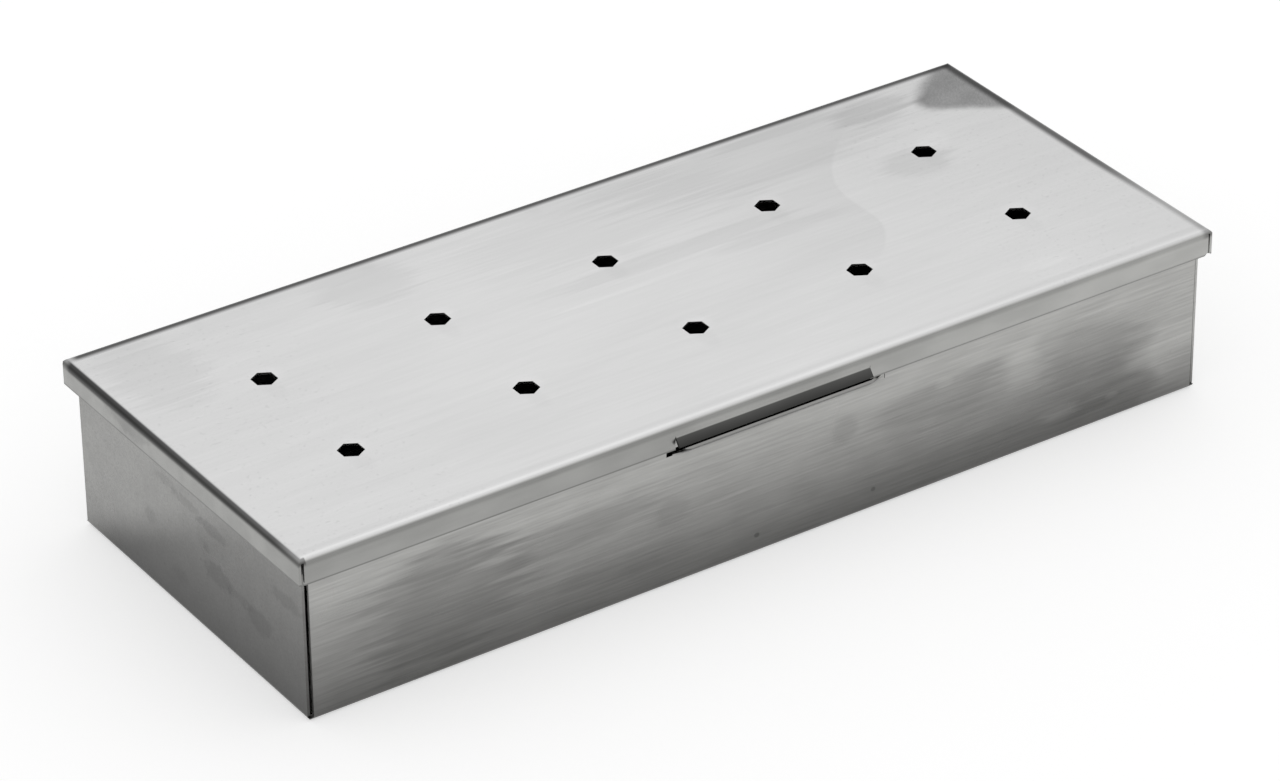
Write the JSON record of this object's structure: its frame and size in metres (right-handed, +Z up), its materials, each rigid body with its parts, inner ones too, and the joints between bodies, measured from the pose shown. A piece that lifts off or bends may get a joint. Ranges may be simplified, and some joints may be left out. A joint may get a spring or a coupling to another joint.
{
  "type": "smoker box",
  "caption": "Shallow folded stainless box for smouldering wood chips, with a vented rear-hinged lid, a flared front lifting tab and a curled draught lip.",
  "frame": {"origin": "middle of the tray's flat underside", "axes": "+X to the right along the length, seen from the front, +Y to the rear where the hinges are, +Z up"},
  "size_m": [0.2296, 0.0968, 0.0398],
  "materials": {
    "tray_steel": "brushed along the length, lightly smudged",
    "lid_steel": "fine satin brush along the length, lightly smudged",
    "hinge_steel": "satin, with two spot welds on each leaf",
    "pin_steel": "bright drawn wire"
  },
  "bodies": {
    "tray_body": {"tray": "tray_steel", "left_hinge_tray_leaf": "hinge_steel", "left_hinge_pin": "pin_steel", "right_hinge_tray_leaf": "hinge_steel", "right_hinge_pin": "pin_steel"},
    "lid_body": {"lid": "lid_steel", "left_hinge_lid_leaf": "hinge_steel", "right_hinge_lid_leaf": "hinge_steel"}
  },
  "joints": [
    {"name": "lid_hinge", "type": "hinge", "parent": "tray_body", "child": "lid_body", "pos_m": [0, 0.04705, 0.0318], "axis": [-1, 0, 0], "range_deg": [0, 165]}
  ]
}
